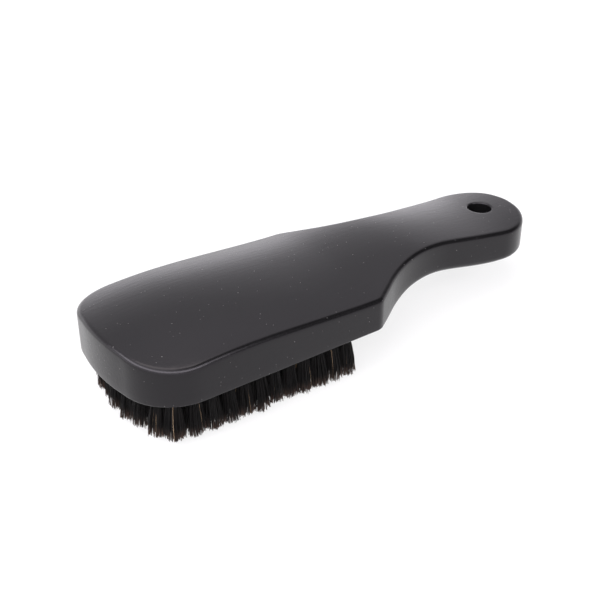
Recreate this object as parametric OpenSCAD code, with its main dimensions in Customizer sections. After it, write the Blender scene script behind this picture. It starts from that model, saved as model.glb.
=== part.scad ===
// Fade brush: a one-piece lacquered wooden body with tufts of hair set in blind holes.
// The tips of the hair stand on z = 0, the head points to -X and the handle to +X.

/* [Body] */
// Length of the whole brush
brush_length = 165; // [150:1:185]
// Half width of the head
head_half_width = 28.3; // [27:0.1:30]
// How far the corners of the head lie behind its middle
head_bow = 4.7; // [3:0.1:6]
// Radius of the bowed head end
head_end_r = 62; // [50:1:70]
// Radius of the head corners
head_corner_r = 17.3; // [14:0.1:18]
// Distance of the shoulders from the head end
shoulder_x = 83.5; // [81:0.1:85]
// Radius of the shoulders
shoulder_r = 5; // [2:0.5:8]
// Distance of the waist corner from the head end
waist_x = 107.2; // [105:0.1:110]
// Half width at the waist corner, before rounding
waist_half_width = 13.5; // [12.5:0.1:15]
// Radius of the waist
waist_r = 51; // [40:1:54]
// Half width at the handle end, before rounding
handle_half_width = 19.3; // [19:0.1:21]
// How far the corners of the handle lie before its end, before rounding
handle_bow = 3; // [2:0.5:4]
// Radius of the round handle end
handle_end_r = 15.8; // [14:0.1:16]
// Radius of the crown across the top
crown_r = 101; // [90:1:200]
// Rounding of the top edge
top_edge_r = 1.5; // [0.8:0.1:2]
// Rounding of the bottom edge around the head
head_bottom_edge_r = 0.8; // [0.5:0.1:1.2]
// Rounding of the bottom edge around the handle
handle_bottom_edge_r = 2.4; // [1:0.1:3]

/* [Hanging hole] */
// Diameter of the hanging hole
hang_hole_d = 8.6; // [6:0.1:10]
// Distance of the hanging hole from the handle end
hang_hole_inset = 13.6; // [12:0.1:18]
// Chamfer at both ends of the hanging hole
hang_hole_chamfer = 0.5; // [0.2:0.1:0.8]

/* [Bristles] */
// Length of the hair below the head
hair_length = 13; // [11:0.5:18]
// Number of rows of tufts across the head
row_count = 12; // [10:1:12]
// Distance from row to row
row_pitch = 5.8; // [5.7:0.1:6]
// Distance of the first row from the head end
first_row_x = 6.5; // [6:0.1:7]
// Number of tufts in a full row
tufts_in_full_row = 9; // [7:1:9]
// Distance of the outermost tufts from the side of the head
tuft_inset = 3.6; // [3.4:0.1:4.5]
// Diameter of a tuft hole
tuft_hole_d = 3.8; // [3.4:0.1:4.2]
// Depth of a tuft hole
tuft_hole_depth = 8; // [7:0.5:9]
// Number of strands that stand for the hair of one tuft
strands_per_tuft = 4; // [3:1:4]
// How far the tips of the outermost tufts lean outwards
tip_lean = 0.8; // [0:0.1:1.5]
// Depth to which the tips are trimmed flat
tip_trim = 0.5; // [0.3:0.1:1]

/* [Anchors] */
// Length of an anchor wire, which bites into the wall of its hole
anchor_length = 4.4; // [4.3:0.1:5]
// Height of the flat anchor wire
anchor_height = 1.6; // [1.2:0.1:2]
// Thickness of the flat anchor wire
anchor_thickness = 0.4; // [0.3:0.05:0.5]
// Depth of the anchor below the mouth of its hole
anchor_depth = 5; // [4:0.1:5]

/* [Hidden] */
$fn = 48;
FIT = 0.05;
OVERLAP = 0.6;
PROUD = 0.3;
CUT_PAST = 1;
LONGEST_STEP = 7;
TOP_COLUMNS = 8;
BOTTOM_COLUMNS = 4;
STRAND_SIDES = 3;
SEEDS_PER_ROW = 20;
LACQUER = [0.06, 0.06, 0.065];
HAIR = [0.1, 0.075, 0.06];
STEEL = [0.72, 0.73, 0.75];

function flat_list(lists) = [for (l = lists) for (e = l) e];
function unit(v) = v / norm(v);
function left_of(v) = [-v[1], v[0]];
function clamp01(t) = min(1, max(0, t));
function smooth(t) = let (s = clamp01(t)) s * s * (3 - 2 * s);
function angle_of(v) = atan2(v[1], v[0]);
function short_turn(a) = a > 180 ? a - 360 : a < -180 ? a + 360 : a;

// Outline points hold [x, y, outward normal x, outward normal y].
// A corner b between a and c, rounded with radius r in n steps
function corner(a, b, c, r, n) =
    let (
        d0 = unit(b - a),
        d1 = unit(c - b),
        n0 = angle_of(left_of(d0)),
        turn = short_turn(angle_of(left_of(d1)) - n0),
        side = turn < 0 ? 1 : -1,
        reach = r / cos(turn / 2),
        centre = b + reach * unit(d1 - d0)
    )
    [
        for (i = [0 : n])
            let (
                t = n0 + turn * i / n,
                normal = [cos(t), sin(t)],
                p = centre + side * r * normal
            )
            [p[0], p[1], normal[0], normal[1]]
    ];

// Points added along the straight stretches of an outline
function with_steps(pts) = concat(
    flat_list([
        for (i = [0 : len(pts) - 2])
            let (
                gap = norm([pts[i + 1][0] - pts[i][0], pts[i + 1][1] - pts[i][1]]),
                n = ceil(gap / LONGEST_STEP)
            )
            [for (j = [0 : n - 1]) pts[i] + (pts[i + 1] - pts[i]) * j / n]
    ]),
    [pts[len(pts) - 1]]
);

// The rounding cuts the points of both ends back by this much.
function point_cut(half_width, bow, r) = r / sin(atan2(half_width, bow)) - r;
end_cut = point_cut(head_half_width, head_bow, head_end_r);
end_x = brush_length + end_cut + point_cut(handle_half_width, handle_bow, handle_end_r);
frame_x = -end_cut - brush_length / 2;

head_end = [0, 0];
head_corner = [head_bow, head_half_width];
shoulder = [shoulder_x, head_half_width];
waist = [waist_x, waist_half_width];
handle_corner = [end_x - handle_bow, handle_half_width];
handle_end = [end_x, 0];
function mirrored(p) = [p[0], -p[1]];

HEAD_END_STEPS = 8;
HEAD_CORNER_STEPS = 8;
SHOULDER_STEPS = 4;
WAIST_STEPS = 7;
HANDLE_CORNER_STEPS = 12;
HANDLE_END_STEPS = 4;
head_end_arc = corner(mirrored(head_corner), head_end, head_corner, head_end_r, HEAD_END_STEPS);
handle_end_arc = corner(handle_corner, handle_end, mirrored(handle_corner), handle_end_r, HANDLE_END_STEPS);
half_outline = with_steps(concat(
    [for (i = [HEAD_END_STEPS / 2 : HEAD_END_STEPS]) head_end_arc[i]],
    corner(head_end, head_corner, shoulder, head_corner_r, HEAD_CORNER_STEPS),
    corner(head_corner, shoulder, waist, shoulder_r, SHOULDER_STEPS),
    corner(shoulder, waist, handle_corner, waist_r, WAIST_STEPS),
    corner(waist, handle_corner, handle_end, handle_end_r, HANDLE_CORNER_STEPS),
    [for (i = [0 : HANDLE_END_STEPS / 2]) handle_end_arc[i]]
));
half_count = len(half_outline);
ring_count = 2 * half_count - 2;

// The whole outline: along the far side, then back along the near side
outline = concat(
    half_outline,
    [
        for (i = [half_count - 2 : -1 : 1])
            let (p = half_outline[i])
            [p[0], -p[1], p[2], -p[3]]
    ]
);

// Lengthwise profiles, as [distance from the head end, height over the head's underside]
SPINE = [[0, 14.8], [33, 16.8], [80, 14.9], [112, 15.4], [147, 12.5], [170, 12.4]];
UNDERSIDE = [[0, 0], [84, 0], [115, 2.5], [147, -0.7], [170, -0.7]];
function slope_at(prof, i) =
    let (
        a = prof[max(0, i - 1)],
        b = prof[min(len(prof) - 1, i + 1)]
    )
    (b[1] - a[1]) / (b[0] - a[0]);
function hermite(p, q, m0, m1, x) =
    let (
        w = q[0] - p[0],
        t = clamp01((x - p[0]) / w)
    )
    (1 - smooth(t)) * p[1] + smooth(t) * q[1]
        + w * t * (1 - t) * ((1 - t) * m0 - t * m1);
function span_of(prof, x, i = 0) =
    i >= len(prof) - 2 || x < prof[i + 1][0] ? i : span_of(prof, x, i + 1);
function spine(x) =
    let (i = span_of(SPINE, x))
    hermite(SPINE[i], SPINE[i + 1], slope_at(SPINE, i), slope_at(SPINE, i + 1), x);
function underside(x) =
    let (i = span_of(UNDERSIDE, x))
    hermite(UNDERSIDE[i], UNDERSIDE[i + 1], 0, 0, x);

head_z = hair_length;
function top_z(x, y) = head_z + spine(x) - y * y / (2 * crown_r);
function bottom_z(x) = head_z + underside(x);
function bottom_edge_r(x) =
    head_bottom_edge_r + (handle_bottom_edge_r - head_bottom_edge_r)
        * smooth((x - shoulder_x) / (waist_x - shoulder_x));
function set_in(p, d) = [p[0] - d * p[2], p[1] - d * p[3]];

// Rings of the skin: the bottom rounding upwards, then the top rounding
BOTTOM_ARC = [0, 30, 60, 90];
TOP_ARC = [0, 22.5, 45, 67.5, 90];
function bottom_ring(a) = [
    for (p = outline)
        let (
            r = bottom_edge_r(p[0]),
            q = set_in(p, r * (1 - sin(a)))
        )
        [q[0] + frame_x, q[1], bottom_z(q[0]) + r * (1 - cos(a))]
];
function top_ring(b) = [
    for (p = outline)
        let (q = set_in(p, top_edge_r * (1 - cos(b))))
        [q[0] + frame_x, q[1], top_z(q[0], q[1]) - top_edge_r * (1 - sin(b))]
];
rings = concat(
    [for (a = BOTTOM_ARC) bottom_ring(a)],
    [for (b = TOP_ARC) top_ring(b)]
);
last_ring = len(rings) - 1;

// Strips across the body close the skin above and below.
function far_of(ring, i) = ring[i];
function near_of(ring, i) = ring[ring_count - i];
function top_strip(i) = [
    for (j = [1 : TOP_COLUMNS - 1])
        let (
            a = far_of(rings[last_ring], i),
            b = near_of(rings[last_ring], i),
            q = a + (b - a) * j / TOP_COLUMNS
        )
        [q[0], q[1], top_z(q[0] - frame_x, q[1])]
];
function bottom_strip(i) = [
    for (j = [1 : BOTTOM_COLUMNS - 1])
        let (
            a = far_of(rings[0], i),
            b = near_of(rings[0], i)
        )
        a + (b - a) * j / BOTTOM_COLUMNS
];
inner = [1 : half_count - 2];
skin_points = concat(
    flat_list(rings),
    flat_list([for (i = inner) top_strip(i)]),
    flat_list([for (i = inner) bottom_strip(i)])
);
top_start = ring_count * len(rings);
bottom_start = top_start + (half_count - 2) * (TOP_COLUMNS - 1);

function ring_index(r, i) = r * ring_count + (i + ring_count) % ring_count;
function strip_index(r, start, columns, i, j) =
    i == 0 || i == half_count - 1 || j == 0 ? ring_index(r, i)
        : j == columns ? ring_index(r, ring_count - i)
        : start + (i - 1) * (columns - 1) + j - 1;
function is_triangle(t) = t[0] != t[1] && t[1] != t[2] && t[0] != t[2];
function quad(a, b, c, d) = [for (t = [[a, b, c], [a, c, d]]) if (is_triangle(t)) t];
wall_faces = flat_list([
    for (r = [0 : last_ring - 1])
        for (i = [0 : ring_count - 1])
            quad(
                ring_index(r, i), ring_index(r, i + 1),
                ring_index(r + 1, i + 1), ring_index(r + 1, i)
            )
]);
function cap_faces(r, start, columns, up) = flat_list([
    for (i = [0 : half_count - 2])
        for (j = [0 : columns - 1])
            let (
                a = strip_index(r, start, columns, i, j),
                b = strip_index(r, start, columns, i + 1, j),
                c = strip_index(r, start, columns, i + 1, j + 1),
                d = strip_index(r, start, columns, i, j + 1)
            )
            up ? quad(a, b, c, d) : quad(d, c, b, a)
]);
skin_faces = concat(
    wall_faces,
    cap_faces(last_ring, top_start, TOP_COLUMNS, true),
    cap_faces(0, bottom_start, BOTTOM_COLUMNS, false)
);

// Tufts stand in rows, counted from the head end: the first follows its bow, the last is straight.
// Near the head corners the outermost tuft is pulled in, or left out where it would have to move too far.
FURTHEST_PULL = 2.5;
HALF_WIDTHS = [for (p = half_outline) [p[0], p[1]]];
field_half_y = head_half_width - tuft_inset;
function row_x(row) = end_cut + first_row_x + (row - 1) * row_pitch;
function row_bow(row, y) = y * y / (2 * head_end_r) * (row_count - row) / (row_count - 1);
function tuft_reach(x) = lookup(x, HALF_WIDTHS) - tuft_inset;
function tuft_places(row) = [
    for (k = [0 : tufts_in_full_row - 1])
        let (
            y = field_half_y * (2 * k / (tufts_in_full_row - 1) - 1),
            x = row_x(row) + row_bow(row, y),
            reach = tuft_reach(x)
        )
        if (abs(y) - reach < FURTHEST_PULL)
            [frame_x + x, sign(y) * min(abs(y), reach)]
];
field_mid_x = frame_x + (row_x(1) + row_x(row_count)) / 2;
field_half_x = (row_count - 1) * row_pitch / 2;
function lean(u) = tip_lean * u * abs(u);
function tuft_lean(p) = [lean((p[0] - field_mid_x) / field_half_x), lean(p[1] / field_half_y)];

// A strand is a three-sided stalk from the root plug to a tip that is trimmed flat.
STRAND_ROOT_R = 0.62;
STRAND_TIP_R = 0.5;
STRAND_CIRCLE_R = 1.15;
TIP_SPREAD = 0.6;
BEND_AT = 0.45;
BEND_SHARE = 0.3;
function strand_ring(c, r, turn, z) = [
    for (s = [0 : STRAND_SIDES - 1])
        [c[0] + r * cos(turn + s * 360 / STRAND_SIDES), c[1] + r * sin(turn + s * 360 / STRAND_SIDES), z]
];
STRAND_FACES = concat(
    [[for (s = [STRAND_SIDES - 1 : -1 : 0]) s]],
    flat_list([
        for (r = [0, 1])
            for (s = [0 : STRAND_SIDES - 1])
                let (
                    a = r * STRAND_SIDES + s,
                    b = r * STRAND_SIDES + (s + 1) % STRAND_SIDES
                )
                [[a, b, b + STRAND_SIDES], [a, b + STRAND_SIDES, a + STRAND_SIDES]]
    ]),
    [[for (s = [0 : STRAND_SIDES - 1]) 2 * STRAND_SIDES + s]]
);
module strand(p, turn, short) {
    out = [cos(turn), sin(turn)];
    root = p + STRAND_CIRCLE_R * out;
    sway = TIP_SPREAD * out + tuft_lean(p);
    trimmed = hair_length / (hair_length + tip_trim);
    polyhedron(concat(
        strand_ring(root, STRAND_ROOT_R, turn, head_z + OVERLAP),
        strand_ring(root + BEND_SHARE * sway, STRAND_ROOT_R, turn, head_z * (1 - BEND_AT)),
        strand_ring(root + trimmed * sway, STRAND_TIP_R, turn, short)
    ), STRAND_FACES);
}

// A flat wire across a tuft, the same shape as the gap left for it
module anchor(p, gap = 0) {
    size = [anchor_thickness + 2 * gap, anchor_length + 2 * gap, anchor_height + 2 * gap];
    translate([p[0], p[1], head_z + anchor_depth + anchor_height / 2])
        cube(size, center = true);
}

// The folded root of a tuft in its hole, with its strands below
module tuft(p, row, k) {
    draw = rands(0, 1, 1 + strands_per_tuft, row * SEEDS_PER_ROW + k);
    first_turn = 360 * draw[0];
    difference() {
        translate([p[0], p[1], head_z - PROUD])
            cylinder(d = tuft_hole_d - 2 * FIT, h = tuft_hole_depth + PROUD - FIT);
        anchor(p, FIT);
    }
    for (s = [0 : strands_per_tuft - 1])
        strand(
            p,
            first_turn + s * 360 / strands_per_tuft,
            max(0, tip_trim * (2 * draw[1 + s] - 1))
        );
}

module body() {
    hole_x = brush_length / 2 - hang_hole_inset;
    hole_top = top_z(hole_x - frame_x, 0);
    hole_bottom = bottom_z(hole_x - frame_x);
    sink_h = hang_hole_chamfer + CUT_PAST;
    sink_d = hang_hole_d + 2 * sink_h;
    color(LACQUER)
        difference() {
            polyhedron(skin_points, skin_faces);
            translate([hole_x, 0, hole_bottom - CUT_PAST])
                cylinder(d = hang_hole_d, h = hole_top - hole_bottom + 2 * CUT_PAST);
            translate([hole_x, 0, hole_top - hang_hole_chamfer])
                cylinder(d1 = hang_hole_d, d2 = sink_d, h = sink_h);
            translate([hole_x, 0, hole_bottom + hang_hole_chamfer - sink_h])
                cylinder(d1 = sink_d, d2 = hang_hole_d, h = sink_h);
            for (row = [1 : row_count])
                for (p = tuft_places(row)) {
                    translate([p[0], p[1], head_z - CUT_PAST])
                        cylinder(d = tuft_hole_d, h = tuft_hole_depth + CUT_PAST);
                    anchor(p, FIT);
                }
        }
}

module bristle_row(row) {
    places = tuft_places(row);
    color(HAIR)
        for (k = [0 : len(places) - 1])
            tuft(places[k], row, k);
}

module anchor_row(row) {
    color(STEEL)
        for (p = tuft_places(row))
            anchor(p);
}

body();
for (row = [1 : row_count]) {
    bristle_row(row);
    anchor_row(row);
}
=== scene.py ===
# Fade brush: black lacquered wooden body, natural hair tufts and their anchor wires.
# Sizes are in millimetres unless a heading says otherwise. Objects are in metres, in the frame of the
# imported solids: hair tips on z = 0, head towards -X.
import math
import random

import bmesh
import bpy
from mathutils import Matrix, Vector, geometry


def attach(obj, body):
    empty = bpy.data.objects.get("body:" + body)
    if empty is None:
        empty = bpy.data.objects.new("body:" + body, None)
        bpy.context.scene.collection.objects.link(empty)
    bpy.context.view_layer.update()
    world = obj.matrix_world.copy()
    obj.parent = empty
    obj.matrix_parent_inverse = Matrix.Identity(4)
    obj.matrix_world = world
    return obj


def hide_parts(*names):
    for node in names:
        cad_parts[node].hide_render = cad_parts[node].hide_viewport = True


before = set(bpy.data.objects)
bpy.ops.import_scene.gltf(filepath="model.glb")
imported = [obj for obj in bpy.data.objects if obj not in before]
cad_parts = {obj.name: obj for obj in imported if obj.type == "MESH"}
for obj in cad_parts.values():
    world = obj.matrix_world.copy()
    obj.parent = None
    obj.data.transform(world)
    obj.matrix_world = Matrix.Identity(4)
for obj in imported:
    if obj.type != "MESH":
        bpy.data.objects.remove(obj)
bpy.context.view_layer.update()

MM = 0.001
BODY = "root"

# Driving sizes of the brush, as its solids have them; x runs from the head end's point before rounding
LENGTH = 165
HEAD_HALF_WIDTH = 28.3
HEAD_BOW = 4.7
HEAD_END_R = 62
HEAD_CORNER_R = 17.3
SHOULDER_X = 83.5
SHOULDER_R = 5
WAIST_X = 107.2
WAIST_HALF_WIDTH = 13.5
WAIST_R = 51
HANDLE_HALF_WIDTH = 19.3
HANDLE_BOW = 3
HANDLE_END_R = 15.8
CROWN_R = 101
TOP_EDGE_R = 1.5
HEAD_BOTTOM_EDGE_R = 0.8
HANDLE_BOTTOM_EDGE_R = 2.4
HAIR_LENGTH = 13
SPINE = [(0, 14.8), (33, 16.8), (80, 14.9), (112, 15.4), (147, 12.5), (170, 12.4)]
UNDERSIDE = [(0, 0), (84, 0), (115, 2.5), (147, -0.7), (170, -0.7)]
FLAT_UNTIL = UNDERSIDE[1][0]
HANG_HOLE_R = 4.3
HANG_HOLE_INSET = 13.6
HANG_HOLE_LIP = 0.5
ROW_COUNT = 12
ROW_PITCH = 5.8
FIRST_ROW_X = 6.5
TUFTS_IN_FULL_ROW = 9
FURTHEST_PULL = 2.5
TUFT_INSET = 3.6
TUFT_HOLE_R = 1.9
TUFT_HOLE_DEPTH = 8


# The outline of the body, from above

OUTLINE_STEP = 1.6
HEAD_END_STEPS = 16
HEAD_CORNER_STEPS = 22
SHOULDER_STEPS = 8
WAIST_STEPS = 24
HANDLE_CORNER_STEPS = 28
HANDLE_END_STEPS = 8
SAME_POINT = 1e-6


def point_cut(half_width, bow, radius):
    """How far rounding cuts back the point of an end of the outline."""
    return radius / math.sin(math.atan2(half_width, bow)) - radius


HEAD_CUT = point_cut(HEAD_HALF_WIDTH, HEAD_BOW, HEAD_END_R)
END_X = LENGTH + HEAD_CUT + point_cut(HANDLE_HALF_WIDTH, HANDLE_BOW, HANDLE_END_R)
HANG_HOLE_X = LENGTH + HEAD_CUT - HANG_HOLE_INSET
FRAME_X = -HEAD_CUT - LENGTH / 2


def left_of(v):
    return Vector((-v.y, v.x))


def rounded_corner(before, corner, after, radius, steps):
    """Points and outward normals of a corner of the outline, rounded."""
    into = (corner - before).normalized()
    out = (after - corner).normalized()
    start = math.atan2(left_of(into).y, left_of(into).x)
    turn = math.atan2(left_of(out).y, left_of(out).x) - start
    turn = (turn + math.pi) % (2 * math.pi) - math.pi
    side = 1 if turn < 0 else -1
    centre = corner + (out - into).normalized() * (radius / math.cos(turn / 2))
    arc = []
    for i in range(steps + 1):
        angle = start + turn * i / steps
        normal = Vector((math.cos(angle), math.sin(angle)))
        arc.append((centre + side * radius * normal, normal))
    return arc


def half_outline():
    """Points and outward normals of the far half of the outline, from the head end to the handle end."""
    head_end = Vector((0, 0))
    head_corner = Vector((HEAD_BOW, HEAD_HALF_WIDTH))
    near_head_corner = Vector((HEAD_BOW, -HEAD_HALF_WIDTH))
    shoulder = Vector((SHOULDER_X, HEAD_HALF_WIDTH))
    waist = Vector((WAIST_X, WAIST_HALF_WIDTH))
    handle_corner = Vector((END_X - HANDLE_BOW, HANDLE_HALF_WIDTH))
    near_handle_corner = Vector((END_X - HANDLE_BOW, -HANDLE_HALF_WIDTH))
    handle_end = Vector((END_X, 0))
    head_arc = rounded_corner(near_head_corner, head_end, head_corner, HEAD_END_R, HEAD_END_STEPS)
    end_arc = rounded_corner(
        handle_corner, handle_end, near_handle_corner, HANDLE_END_R, HANDLE_END_STEPS
    )
    arcs = (
        head_arc[HEAD_END_STEPS // 2:]
        + rounded_corner(head_end, head_corner, shoulder, HEAD_CORNER_R, HEAD_CORNER_STEPS)
        + rounded_corner(head_corner, shoulder, waist, SHOULDER_R, SHOULDER_STEPS)
        + rounded_corner(shoulder, waist, handle_corner, WAIST_R, WAIST_STEPS)
        + rounded_corner(waist, handle_corner, handle_end, HANDLE_END_R, HANDLE_CORNER_STEPS)
        + end_arc[:HANDLE_END_STEPS // 2 + 1]
    )
    points = []
    for (p, n), (q, m) in zip(arcs, arcs[1:]):
        gap = (q - p).length
        if gap < SAME_POINT:
            continue
        steps = math.ceil(gap / OUTLINE_STEP)
        points += [(p.lerp(q, i / steps), n.lerp(m, i / steps).normalized()) for i in range(steps)]
    return points + [arcs[-1]]


FAR_HALF = half_outline()
NEAR_HALF = [(Vector((p.x, -p.y)), Vector((n.x, -n.y))) for p, n in FAR_HALF]
ROUND = FAR_HALF + NEAR_HALF[-2:0:-1]
STATIONS = len(FAR_HALF)


def half_width_at(x):
    for (p, _), (q, _) in zip(FAR_HALF, FAR_HALF[1:]):
        if p.x <= x <= q.x:
            return p.y + (q.y - p.y) * (x - p.x) / max(q.x - p.x, SAME_POINT)
    return 0


# The lengthwise profiles and the crown

def smooth(t):
    """Goes from 0 to 1 with level ends as t does."""
    t = min(1, max(0, t))
    return t * t * (3 - 2 * t)


def profile(points, x, level_at_points=False):
    """A smooth curve through points, level at each of them if asked."""
    i = 0
    while i < len(points) - 2 and x >= points[i + 1][0]:
        i += 1

    def slope(k):
        if level_at_points:
            return 0
        before, after = points[max(0, k - 1)], points[min(len(points) - 1, k + 1)]
        return (after[1] - before[1]) / (after[0] - before[0])

    (x0, z0), (x1, z1) = points[i], points[i + 1]
    t = min(1, max(0, (x - x0) / (x1 - x0)))
    bend = (x1 - x0) * t * (1 - t) * ((1 - t) * slope(i) - t * slope(i + 1))
    return (1 - smooth(t)) * z0 + smooth(t) * z1 + bend


def top_z(x, y):
    return HAIR_LENGTH + profile(SPINE, x) - y * y / (2 * CROWN_R)


def bottom_z(x, y=0):
    """The underside is straight across, so it is as high at every y."""
    return HAIR_LENGTH + profile(UNDERSIDE, x, level_at_points=True)


def bottom_edge_r(x):
    share = smooth((x - SHOULDER_X) / (WAIST_X - SHOULDER_X))
    return HEAD_BOTTOM_EDGE_R + (HANDLE_BOTTOM_EDGE_R - HEAD_BOTTOM_EDGE_R) * share


# The field of tufts

FIELD_HALF_X = (ROW_COUNT - 1) * ROW_PITCH / 2
FIELD_HALF_Y = HEAD_HALF_WIDTH - TUFT_INSET
FIELD_MID_X = HEAD_CUT + FIRST_ROW_X + FIELD_HALF_X


def tuft_places(row):
    """Centres of a row's tufts; the first row follows the bow of the head end, the last is straight."""
    places = []
    for k in range(TUFTS_IN_FULL_ROW):
        y = FIELD_HALF_Y * (2 * k / (TUFTS_IN_FULL_ROW - 1) - 1)
        bow = y * y / (2 * HEAD_END_R) * (ROW_COUNT - row) / (ROW_COUNT - 1)
        x = HEAD_CUT + FIRST_ROW_X + (row - 1) * ROW_PITCH + bow
        reach = half_width_at(x) - TUFT_INSET
        if abs(y) - reach < FURTHEST_PULL:
            places.append(Vector((x, math.copysign(min(abs(y), reach), y))))
    return places


# The mesh of the body

def to_frame(x, y, z):
    return Vector(((x + FRAME_X) * MM, y * MM, z * MM))


class BodySkin:
    """The skin of the body, put together from rings round it and strips across it."""

    COLUMNS = 44
    BOTTOM_STEPS = 6
    WALL_STEPS = 5
    TOP_STEPS = 12
    HOLE_REACH = 7.5
    HOLE_RINGS = 5
    LIP_STEPS = 5
    BORE_STEPS = 6
    TUFT_SIDES = 16
    MOUTH_SHARE = 0.97
    INSIDE_ONLY = 1
    FLAT_TOLERANCE = 1e-5
    SHARP_FROM = math.radians(40)

    def __init__(self):
        self.bm = bmesh.new()

    def vert(self, x, y, z):
        return self.bm.verts.new(to_frame(x, y, z))

    def face(self, *verts):
        """A face, unless so many of its corners coincide that none is left."""
        distinct = list(dict.fromkeys(verts))
        if len(distinct) > 2:
            self.bm.faces.new(distinct)

    def bridge(self, low, high):
        """Quads between two closed rings."""
        for k in range(len(low)):
            n = (k + 1) % len(low)
            self.face(low[k], low[n], high[n], high[k])

    def rings(self):
        """Rings of vertices from the rim of the underside up to the rim of the top."""
        rings = []
        for i in range(self.BOTTOM_STEPS + 1):
            a = math.pi / 2 * i / self.BOTTOM_STEPS
            ring = []
            for p, n in ROUND:
                r = bottom_edge_r(p.x)
                q = p - n * (r * (1 - math.sin(a)))
                ring.append((q.x, q.y, bottom_z(q.x) + r * (1 - math.cos(a))))
            rings.append(ring)
        top_rings = []
        for i in range(self.TOP_STEPS + 1):
            a = math.pi / 2 * i / self.TOP_STEPS
            ring = []
            for p, n in ROUND:
                q = p - n * (TOP_EDGE_R * (1 - math.cos(a)))
                ring.append((q.x, q.y, top_z(q.x, q.y) - TOP_EDGE_R * (1 - math.sin(a))))
            top_rings.append(ring)
        for i in range(1, self.WALL_STEPS):
            t = i / self.WALL_STEPS
            rings.append([
                (low[0], low[1], low[2] + (high[2] - low[2]) * t)
                for low, high in zip(rings[self.BOTTOM_STEPS], top_rings[0])
            ])
        return [[self.vert(*place) for place in ring] for ring in rings + top_rings]

    def strips(self, rim, height):
        """Rows of vertices across the body between the two sides of a rim."""
        rows = []
        for i in range(STATIONS):
            far, near = rim[i], rim[-i]
            row = [far]
            for j in range(1, self.COLUMNS):
                if far is near:
                    row.append(far)
                    continue
                p = far.co.lerp(near.co, j / self.COLUMNS) / MM
                x = p.x - FRAME_X
                row.append(self.vert(x, p.y, height(x, p.y)))
            rows.append(row + [near])
        return rows

    def hole_span(self, rows):
        """First and last station and column of the patch round the hanging hole."""
        stations = [
            i for i in range(STATIONS)
            if abs(rows[i][self.COLUMNS // 2].co.x / MM - FRAME_X - HANG_HOLE_X) < self.HOLE_REACH
        ]
        middle = rows[stations[len(stations) // 2]]
        columns = [j for j in range(self.COLUMNS + 1) if abs(middle[j].co.y / MM) < self.HOLE_REACH]
        return stations[0], stations[-1], columns[0], columns[-1]

    def cap(self, rows, first, span, upwards):
        """Faces of a cap from the station first on, with the patch of the hole left open."""
        i0, i1, j0, j1 = span
        for i in range(first, STATIONS - 1):
            for j in range(self.COLUMNS):
                if i0 <= i < i1 and j0 <= j < j1:
                    continue
                quad = (rows[i][j], rows[i + 1][j], rows[i + 1][j + 1], rows[i][j + 1])
                self.face(*(reversed(quad) if upwards else quad))

    def hole_rim(self, rows, span, height, sign):
        """Rings that lead from the patch's square edge round the lip to the wall of the hole."""
        i0, i1, j0, j1 = span
        loop = (
            [rows[i0][j] for j in range(j0, j1)]
            + [rows[i][j1] for i in range(i0, i1)]
            + [rows[i1][j] for j in range(j1, j0, -1)]
            + [rows[i][j0] for i in range(i1, i0, -1)]
        )
        places = [v.co.xy / MM - Vector((FRAME_X + HANG_HOLE_X, 0)) for v in loop]
        lip_r = HANG_HOLE_R + HANG_HOLE_LIP
        rings = [loop]
        for k in range(1, self.HOLE_RINGS + 1):
            ring = []
            for p in places:
                q = p.lerp(p.normalized() * lip_r, k / self.HOLE_RINGS)
                ring.append(self.vert(HANG_HOLE_X + q.x, q.y, height(HANG_HOLE_X + q.x, q.y)))
            rings.append(ring)
        for k in range(1, self.LIP_STEPS + 1):
            a = math.pi / 2 * k / self.LIP_STEPS
            drop = HANG_HOLE_LIP * (1 - math.cos(a))
            ring = []
            for p in places:
                q = p.normalized() * (lip_r - HANG_HOLE_LIP * math.sin(a))
                z = height(HANG_HOLE_X + q.x, q.y) - sign * drop
                ring.append(self.vert(HANG_HOLE_X + q.x, q.y, z))
            rings.append(ring)
        return rings

    def bore(self, top_ring, bottom_ring):
        """The wall of the hanging hole, from its lower lip to its upper one."""
        rings = [bottom_ring]
        for k in range(1, self.BORE_STEPS):
            ring = []
            for low, high in zip(bottom_ring, top_ring):
                p = low.co.lerp(high.co, k / self.BORE_STEPS) / MM
                ring.append(self.vert(p.x - FRAME_X, p.y, p.z))
            rings.append(ring)
        rings.append(top_ring)
        for low, high in zip(rings, rings[1:]):
            self.bridge(low, high)

    def drilled_underside(self, rows, last):
        """The flat underside of the head, drilled with a blind hole for every tuft."""
        rim = [row[0] for row in rows[:last + 1]] + rows[last][1:-1]
        rim += [row[-1] for row in rows[last:0:-1]]
        verts = list(rim)
        edges = [(k, (k + 1) % len(rim)) for k in range(len(rim))]
        centres = [p for row in range(1, ROW_COUNT + 1) for p in tuft_places(row)]
        mouths = []
        for c in centres:
            start = len(verts)
            for s in range(self.TUFT_SIDES):
                a = 2 * math.pi * s / self.TUFT_SIDES
                x, y = c.x + TUFT_HOLE_R * math.cos(a), c.y + TUFT_HOLE_R * math.sin(a)
                verts.append(self.vert(x, y, HAIR_LENGTH))
                edges.append((start + s, start + (s + 1) % self.TUFT_SIDES))
            mouths.append(verts[start:])
        flat = [v.co.xy / MM for v in verts]
        points, _, faces, sources, _, _ = geometry.delaunay_2d_cdt(
            flat, edges, [], self.INSIDE_ONLY, self.FLAT_TOLERANCE
        )
        for f in faces:
            middle = sum((points[k] for k in f), Vector((0, 0))) / len(f) - Vector((FRAME_X, 0))
            if min((middle - c).length for c in centres) > TUFT_HOLE_R * self.MOUTH_SHARE:
                self.face(*reversed([verts[sources[k][0]] for k in f]))
        for mouth in mouths:
            floor = []
            for v in mouth:
                p = v.co / MM
                floor.append(self.vert(p.x - FRAME_X, p.y, HAIR_LENGTH + TUFT_HOLE_DEPTH))
            self.bridge(mouth, floor)
            self.face(*reversed(floor))

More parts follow.
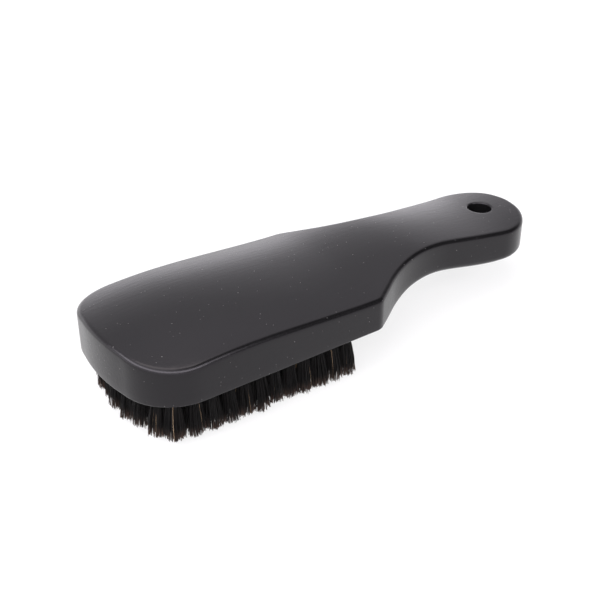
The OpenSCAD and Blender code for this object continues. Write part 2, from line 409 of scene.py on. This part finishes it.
    def build(self):
        rings = self.rings()
        for low, high in zip(rings, rings[1:]):
            self.bridge(low, high)
        top_rows = self.strips(rings[-1], top_z)
        bottom_rows = self.strips(rings[0], bottom_z)
        span = self.hole_span(top_rows)
        flat_last = max(
            i for i in range(STATIONS) if rings[0][i].co.x / MM - FRAME_X <= FLAT_UNTIL
        )
        self.cap(top_rows, 0, span, upwards=True)
        self.cap(bottom_rows, flat_last, span, upwards=False)
        self.drilled_underside(bottom_rows, flat_last)
        upper = self.hole_rim(top_rows, span, top_z, 1)
        lower = self.hole_rim(bottom_rows, span, bottom_z, -1)
        for outer, inner in zip(upper, upper[1:]):
            self.bridge(outer, inner)
        for outer, inner in zip(lower, lower[1:]):
            self.bridge(inner, outer)
        self.bore(upper[-1], lower[-1])
        unused = [v for v in self.bm.verts if not v.link_faces]
        bmesh.ops.delete(self.bm, geom=unused, context="VERTS")
        bmesh.ops.recalc_face_normals(self.bm, faces=self.bm.faces[:])
        mesh = bpy.data.meshes.new("lacquered_body")
        self.bm.to_mesh(mesh)
        self.bm.free()
        mesh.shade_smooth()
        mesh.set_sharp_from_angle(angle=self.SHARP_FROM)
        return mesh


# The meshes of the hair

HAIR_MAP = "OFBake"
HAIR_ON_MAP = 0.004
LAST_TONE = 0.99
CAP_ON_MAP = 0.01
FIRST_SEED = 100
HAIRS_IN_TUFT = 300
LOCKS_IN_TUFT = 14
HAIR_SIDES = 3
HAIR_ROOT_R = 0.1
HAIR_TIP_R = 0.075
HAIR_RINGS = (0, 0.25, 0.6, 1)
ROOT_DEPTH = 1.5
TUFT_SPREAD = 1.5
LOCK_HOLD = 0.22
BEND_SHARE = 0.12

# How far hair leans out at the edges of the field, and in at the far head corner
SIDE_LEAN = 0.6
HEAD_LEAN = 1.5
HANDLE_LEAN = 0.8
TUCK = 2.2

# How far tufts, locks, hairs and their bends stray
TUFT_STRAY = 0.25
LOCK_STRAY = 0.3
HAIR_STRAY = 0.35
BEND_STRAY = 0.12

# How much shorter hair is: at random, at the rim of its tuft, and worn along the near side
TUFT_SHORT = 0.3
LOCK_SHORT = 0.25
HAIR_SHORT = 0.2
BROKEN_SHORT = 0.6
BROKEN_RARITY = 5
TUFT_DOME = 0.9
WORN_SHORT = 0.75

# Where along the field the wear starts, and the stretch over which it grows, in half lengths of the field
WORN_FROM = 0.45
WORN_SPAN = 0.3


def lean(furthest, share):
    """How far a tuft leans outwards: most at the edge of the field, hardly at all inside it."""
    return furthest * share ** 3


class HairRow:
    """The hair of one row of tufts: tapered three-sided hairs that fan out from their holes."""

    def __init__(self, row):
        self.row = row
        self.draw = random.Random(FIRST_SEED + row)
        self.verts = []
        self.faces = []
        self.map = []

    def hair(self, root, tip, sag, tone):
        """One hair from root to tip, bent sideways by sag; tone is its place across the map."""
        start = len(self.verts)
        turn = self.draw.uniform(0, 2 * math.pi)
        for t in HAIR_RINGS:
            c = root.lerp(tip, t) + sag * (4 * t * (1 - t))
            r = HAIR_ROOT_R + (HAIR_TIP_R - HAIR_ROOT_R) * t
            for s in range(HAIR_SIDES):
                a = turn + 2 * math.pi * s / HAIR_SIDES
                self.verts.append(to_frame(c.x + r * math.cos(a), c.y + r * math.sin(a), c.z))
        for k, (low, high) in enumerate(zip(HAIR_RINGS, HAIR_RINGS[1:])):
            for s in range(HAIR_SIDES):
                n = (s + 1) % HAIR_SIDES
                a, b = start + k * HAIR_SIDES + s, start + k * HAIR_SIDES + n
                self.faces.append((b, a, a + HAIR_SIDES, b + HAIR_SIDES))
                left = tone + HAIR_ON_MAP * s / HAIR_SIDES
                right = tone + HAIR_ON_MAP * (s + 1) / HAIR_SIDES
                self.map += [(right, low), (left, low), (left, high), (right, high)]
        last = start + (len(HAIR_RINGS) - 1) * HAIR_SIDES
        self.end_face((last + 2, last + 1, last), tone, 1, 1 - CAP_ON_MAP)
        self.end_face((start, start + 1, start + 2), tone, 0, CAP_ON_MAP)

    def end_face(self, face, tone, edge, inside):
        """The face at an end of a hair, and its sliver of the map."""
        self.faces.append(face)
        self.map += [(tone, edge), (tone + HAIR_ON_MAP, edge), (tone + HAIR_ON_MAP / 2, inside)]

    def in_disc(self):
        a = self.draw.uniform(0, 2 * math.pi)
        return Vector((math.cos(a), math.sin(a))) * math.sqrt(self.draw.random())

    def stray(self, spread):
        return Vector((self.draw.gauss(0, spread), self.draw.gauss(0, spread)))

    def leaning(self, end_share, side_share):
        """How far the tips of a tuft lie from straight below it."""
        tuck = TUCK * max(0, -end_share) * max(0, side_share)
        end_lean = lean(HEAD_LEAN if end_share < 0 else HANDLE_LEAN, end_share)
        along = end_lean * (1 - side_share) / 2 + tuck / 2
        across = lean(SIDE_LEAN, side_share) - tuck
        return Vector((along, across)) + self.stray(TUFT_STRAY)

    def tuft(self, centre):
        """Hairs that come out of their hole together and gather into locks at their tips."""
        draw = self.draw
        end_share = (centre.x - FIELD_MID_X) / FIELD_HALF_X
        side_share = centre.y / FIELD_HALF_Y
        leaning = self.leaning(end_share, side_share)
        worn = WORN_SHORT * max(0, -side_share) * min(1, max(0, (WORN_FROM - end_share) / WORN_SPAN))
        tuft_short = worn + draw.uniform(0, TUFT_SHORT)
        locks = []
        for _ in range(LOCKS_IN_TUFT):
            out = self.in_disc()
            tip = centre + out * (TUFT_HOLE_R + TUFT_SPREAD) + leaning + self.stray(LOCK_STRAY)
            locks.append((out, tip, tuft_short + draw.uniform(0, LOCK_SHORT)))
        for _ in range(HAIRS_IN_TUFT):
            out = self.in_disc()
            _, lock_tip, lock_short = min(locks, key=lambda lock: (lock[0] - out).length)
            root = centre + out * (TUFT_HOLE_R - HAIR_ROOT_R)
            free_tip = root + out * TUFT_SPREAD + leaning + self.stray(HAIR_STRAY)
            tip = free_tip.lerp(lock_tip, LOCK_HOLD)
            short = lock_short + abs(draw.gauss(0, HAIR_SHORT))
            short += BROKEN_SHORT * draw.random() ** BROKEN_RARITY + TUFT_DOME * out.length_squared
            bend = self.stray(BEND_STRAY) + (tip - root) * BEND_SHARE
            self.hair(
                Vector((root.x, root.y, HAIR_LENGTH + ROOT_DEPTH)),
                Vector((tip.x, tip.y, short)),
                bend.to_3d(),
                draw.uniform(0, LAST_TONE),
            )

    def build(self):
        for centre in tuft_places(self.row):
            self.tuft(centre)
        mesh = bpy.data.meshes.new(f"hair_row_{self.row}")
        mesh.from_pydata(self.verts, [], self.faces)
        layer = mesh.uv_layers.new(name=HAIR_MAP)
        layer.uv.foreach_set("vector", [c for uv in self.map for c in uv])
        mesh.shade_smooth()
        return mesh


# Nodes of the materials and of the surround

class Value:
    """A socket's value, with Python's operators for the maths on it."""

    def __init__(self, nodes, socket):
        self.nodes = nodes
        self.socket = socket

    def math(self, operation, a, b):
        return self.nodes.make("ShaderNodeMath", {"operation": operation}, {0: a, 1: b})

    def __add__(self, other):
        return self.math("ADD", self, other)

    def __radd__(self, other):
        return self.math("ADD", other, self)

    def __sub__(self, other):
        return self.math("SUBTRACT", self, other)

    def __rsub__(self, other):
        return self.math("SUBTRACT", other, self)

    def __mul__(self, other):
        return self.math("MULTIPLY", self, other)

    def __rmul__(self, other):
        return self.math("MULTIPLY", other, self)

    def __gt__(self, other):
        return self.math("GREATER_THAN", self, other)

    def __lt__(self, other):
        return self.math("LESS_THAN", self, other)


class Nodes:
    """The nodes of one material or of the world."""

    def __init__(self, tree):
        self.tree = tree
        tree.nodes.clear()

    def make(self, kind, settings=None, sockets=None, output=0):
        """Adds a node with its settings and sockets, and returns one of its outputs."""
        node = self.tree.nodes.new(kind)
        for name, setting in (settings or {}).items():
            setattr(node, name, setting)
        for name, value in (sockets or {}).items():
            if isinstance(value, Value):
                self.tree.links.new(value.socket, node.inputs[name])
            else:
                node.inputs[name].default_value = value
        return Value(self, node.outputs[output]) if node.outputs else None

    def place(self):
        """The place on the object, in metres."""
        return self.make("ShaderNodeTexCoord", output="Object")

    def part(self, vector, axis):
        return self.make("ShaderNodeSeparateXYZ", None, {0: vector}, output=axis)

    def mix(self, factor, first, second):
        """A colour between two others."""
        sockets = {0: factor, 6: first, 7: second}
        return self.make("ShaderNodeMix", {"data_type": "RGBA"}, sockets, output=2)

    def stretch(self, vector, scale):
        return self.make("ShaderNodeVectorMath", {"operation": "MULTIPLY"}, {0: vector, 1: scale})

    def noise(self, vector, scale, detail):
        sockets = {"Vector": vector, "Scale": scale, "Detail": detail}
        return self.make("ShaderNodeTexNoise", None, sockets)

    def towards(self, ray, direction):
        """How closely a ray keeps to a direction: 1 along it, 0 square to it."""
        sockets = {0: ray, 1: Vector(direction).normalized()}
        return self.make("ShaderNodeVectorMath", {"operation": "DOT_PRODUCT"}, sockets, output="Value")

    def step(self, value, start, end):
        """Goes smoothly from 0 where the value is start to 1 where it is end."""
        sockets = {"Value": value, "From Min": start, "From Max": end}
        return self.make("ShaderNodeMapRange", {"interpolation_type": "SMOOTHSTEP"}, sockets)

    def surface(self, sockets):
        """Ends a material with its surface."""
        shader = self.make("ShaderNodeBsdfPrincipled", None, sockets)
        self.make("ShaderNodeOutputMaterial", None, {"Surface": shader})


def material(name):
    made = bpy.data.materials.new(name)
    made.use_nodes = True
    return made, Nodes(made.node_tree)


# Materials; the scales of their patterns are in waves or cells to a metre

DEEP_BLACK = (0.0035, 0.0034, 0.0037, 1)
SOFT_BLACK = (0.0055, 0.0053, 0.0055, 1)
DUST_GREY = (0.3, 0.29, 0.28, 1)
LACQUER_TINT = (0.985, 0.94, 1, 1)
GRAIN_SCALE = (150, 950, 950)
PEEL_SCALE = 900
CLOUD_SCALE = 45
LARGE_DUST_SCALE = 330
SMALL_DUST_SCALE = 520
DUST_COVER = 0.3
RELIEF_DEPTH = 0.2 * MM
RELIEF_STRENGTH = 0.24
LACQUER_ROUGHNESS = 0.16
LACQUER_IOR = 1.385

HAIR_BLACK = (0.0034, 0.0032, 0.0034, 1)
HAIR_BROWN_BLACK = (0.0075, 0.0066, 0.0065, 1)
TIP_BROWN = (0.13, 0.077, 0.06, 1)
TIP_COVER = 0.75
TAN = (0.28, 0.2, 0.13, 1)
TAN_FROM = 0.986
HAIR_ROUGHNESS = 0.34
HAIR_IOR = 1.5
HAIR_GLOSS = 0.15

DULL_STEEL = (0.42, 0.42, 0.43, 1)
BRIGHT_STEEL = (0.62, 0.62, 0.63, 1)
DRAWN_SCALE = (9000, 400, 9000)
STEEL_ROUGHNESS = 0.25


def specks(nodes, place, scale, size, share):
    """Specks of dust: a share of the cells of a pattern have one at their centre."""
    cell = {"Vector": place, "Scale": scale}
    distance = nodes.make("ShaderNodeTexVoronoi", None, cell, output="Distance")
    colour = nodes.make("ShaderNodeTexVoronoi", None, cell, output="Color")
    draw = nodes.make("ShaderNodeSeparateColor", None, {0: colour})
    return (distance < size) * (draw < share)


def black_lacquer():
    """Satin black lacquer over close-grained wood, with specks of dust."""
    made, nodes = material("black_lacquer")
    place = nodes.place()
    grain = nodes.noise(nodes.stretch(place, GRAIN_SCALE), 1, detail=3)
    peel = nodes.noise(place, PEEL_SCALE, detail=2)
    cloud = nodes.noise(place, CLOUD_SCALE, detail=3)
    large_dust = specks(nodes, place, LARGE_DUST_SCALE, size=0.055, share=0.35)
    small_dust = specks(nodes, place, SMALL_DUST_SCALE, size=0.08, share=0.5)
    dust = large_dust + 0.6 * small_dust
    black = nodes.mix(cloud, DEEP_BLACK, SOFT_BLACK)
    height = 0.7 * grain + 0.3 * peel
    relief = {"Strength": RELIEF_STRENGTH, "Distance": RELIEF_DEPTH, "Height": height}
    nodes.surface({
        "Base Color": nodes.mix(DUST_COVER * dust, black, DUST_GREY),
        "Roughness": LACQUER_ROUGHNESS + 0.05 * cloud + 0.08 * grain + 0.3 * dust,
        "IOR": LACQUER_IOR,
        "Specular Tint": LACQUER_TINT,
        "Normal": nodes.make("ShaderNodeBump", None, relief),
    })
    return made


def natural_hair():
    """Black-brown hair with browner tips and a few tan hairs."""
    made, nodes = material("natural_hair")
    place = nodes.make("ShaderNodeUVMap", {"uv_map": HAIR_MAP})
    tone = nodes.part(place, "X")
    along = nodes.part(place, "Y")
    tip = nodes.step(along, 0.7, 1.02) * nodes.step(tone, 0.1, 0.9)
    dark = nodes.mix(tone, HAIR_BLACK, HAIR_BROWN_BLACK)
    tipped = nodes.mix(TIP_COVER * tip, dark, TIP_BROWN)
    nodes.surface({
        "Base Color": nodes.mix(tone > TAN_FROM, tipped, TAN),
        "Roughness": HAIR_ROUGHNESS + 0.2 * along,
        "IOR": HAIR_IOR,
        "Specular IOR Level": HAIR_GLOSS,
    })
    return made


def anchor_wire():
    """Drawn flat steel wire with fine lengthwise lines."""
    made, nodes = material("anchor_wire")
    lines = nodes.noise(nodes.stretch(nodes.place(), DRAWN_SCALE), 1, detail=2)
    nodes.surface({
        "Base Color": nodes.mix(lines, DULL_STEEL, BRIGHT_STEEL),
        "Metallic": 1,
        "Roughness": STEEL_ROUGHNESS + 0.2 * lines,
    })
    return made


# Pieces

def add_object(name, data):
    made = bpy.data.objects.new(name, data)
    bpy.context.scene.collection.objects.link(made)
    return made


def add_piece(name, mesh, finish, node):
    """A piece with its finish, which takes the place of a node of the solids."""
    piece = add_object(name, mesh)
    mesh.materials.append(finish)
    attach(piece, BODY)
    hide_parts(node)


add_piece("lacquered_body", BodySkin().build(), black_lacquer(), "body")
hair_finish = natural_hair()
wire_finish = anchor_wire()
for row in range(1, ROW_COUNT + 1):
    add_piece(f"hair_row_{row}", HairRow(row).build(), hair_finish, f"bristle_row_{row}")
    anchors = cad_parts[f"anchor_row_{row}"]
    anchors.data.materials.clear()
    anchors.data.materials.append(wire_finish)


# Camera, floor and light, in metres and degrees

PHOTO_WIDTH_PX = 600
FOCAL_PX = 1023.8
SENSOR_MM = 36
AZIMUTH = -36.07
ELEVATION = 30.34
DISTANCE = 0.33257
AIM = Vector((-0.01071, 0, 0.01427))
NEAR_LIMIT = 0.01
FAR_LIMIT = 20
FLOOR_HALF = 4
FLOOR_DARK = (0.19, 0.19, 0.19, 1)
FLOOR_PALE = (0.21, 0.21, 0.21, 1)
FLOOR_CLOUD_SCALE = 3
FLOOR_ROUGHNESS = 0.8
FLOOR_GLOSS = 0.1
FLOOR_GLOW = 0.76
WHITE = (1, 1, 1, 1)
SOFTBOX_TINT = (1, 0.94, 0.9)
STUDIO_TINT = (1, 0.975, 1.025, 1)

# Brightness of the studio round the brush
FRONT_HORIZON = 1.1
BACK_HORIZON = 1.95
WALL = 0.8
CEILING_MORE = 0.5
BACK_RIGHT_MORE = 0.3
DARK_SHARE = 0.95
FAINT_STRIP = 0.9
BRIGHT_STRIP = 5.2
DARK_SIDE = (0.5, -0.7, 0.5)
STRIP_SIDE = (-0.75, -0.62, 0.2)


def turned_along(direction):
    """The turn that points a camera or lamp along a direction."""
    return direction.to_track_quat("-Z", "Y").to_euler()


def add_camera():
    a, e = math.radians(AZIMUTH), math.radians(ELEVATION)
    ahead = Vector((-math.sin(a) * math.cos(e), math.cos(a) * math.cos(e), -math.sin(e)))
    lens = bpy.data.cameras.new("camera")
    lens.sensor_width = SENSOR_MM
    lens.lens = FOCAL_PX / PHOTO_WIDTH_PX * SENSOR_MM
    lens.clip_start = NEAR_LIMIT
    lens.clip_end = FAR_LIMIT
    camera = add_object("camera", lens)
    camera.location = AIM - ahead * DISTANCE
    camera.rotation_euler = turned_along(ahead)
    bpy.context.scene.camera = camera


def add_floor():
    """A plain pale floor that glows a little, so that shadows on it stay faint."""
    corners = [(-1, -1), (1, -1), (1, 1), (-1, 1)]
    mesh = bpy.data.meshes.new("floor")
    mesh.from_pydata([(x * FLOOR_HALF, y * FLOOR_HALF, 0) for x, y in corners], [], [(0, 1, 2, 3)])
    made, nodes = material("pale_floor")
    cloud = nodes.noise(nodes.place(), FLOOR_CLOUD_SCALE, detail=3)
    nodes.surface({
        "Base Color": nodes.mix(cloud, FLOOR_DARK, FLOOR_PALE),
        "Roughness": FLOOR_ROUGHNESS,
        "Specular IOR Level": FLOOR_GLOSS,
        "Emission Color": WHITE,
        "Emission Strength": FLOOR_GLOW,
    })
    mesh.materials.append(made)
    add_object("floor", mesh)


def add_softbox(name, towards, distance, size, power):
    """A round softbox that shines on the brush from a direction."""
    lamp = bpy.data.lights.new(name, "AREA")
    lamp.shape = "DISK"
    lamp.color = SOFTBOX_TINT
    lamp.size = size
    lamp.energy = power
    box = add_object(name, lamp)
    direction = Vector(towards).normalized()
    box.location = direction * distance
    box.rotation_euler = turned_along(-direction)


def add_surround():
    """White studio walls, dimmer above the horizon, with a dark side and a strip of light.

    The lacquer mirrors them: the back gives the top its sheen, the dark side over the front right keeps the
    near edge black, and the strip at the front left draws the light line along the near corner's edge.
    """
    world = bpy.data.worlds.new("studio")
    bpy.context.scene.world = world
    world.use_nodes = True
    nodes = Nodes(world.node_tree)
    ray = nodes.make("ShaderNodeTexCoord", output="Generated")
    right, back, up = (nodes.part(ray, axis) for axis in "XYZ")
    horizon = FRONT_HORIZON + (BACK_HORIZON - FRONT_HORIZON) * nodes.step(back, -0.2, 0.5)
    wall = horizon + (WALL - horizon) * nodes.step(up, 0.03, 0.39)
    ceiling = CEILING_MORE * nodes.step(up, 0.6, 0.85)
    back_right = nodes.step(right, 0.52, 0.68) * nodes.step(back, 0.2, 0.5) * nodes.step(up, 0.62, 0.45)
    studio = wall + ceiling + BACK_RIGHT_MORE * back_right
    dark = nodes.step(nodes.towards(ray, DARK_SIDE), 0.55, 0.85) * nodes.step(up, 0.08, 0.25)
    faint = nodes.step(up, 0, 0.2) * nodes.step(up, 0.97, 0.85)
    bright = nodes.step(up, 0.42, 0.55) * nodes.step(up, 0.8, 0.68)
    front_left = nodes.step(nodes.towards(ray, STRIP_SIDE), 0.2, 0.36)
    strip = front_left * (FAINT_STRIP * faint + BRIGHT_STRIP * bright)
    strength = studio * (1 - DARK_SHARE * dark) + strip
    sockets = {"Color": STUDIO_TINT, "Strength": strength}
    background = nodes.make("ShaderNodeBackground", None, sockets)
    nodes.make("ShaderNodeOutputWorld", None, {"Surface": background})


add_camera()
add_floor()
add_surround()
add_softbox("top_softbox", towards=(-0.08, 0.08, 1), distance=0.9, size=0.6, power=1.8)
bpy.context.scene.view_settings.view_transform = "Standard"
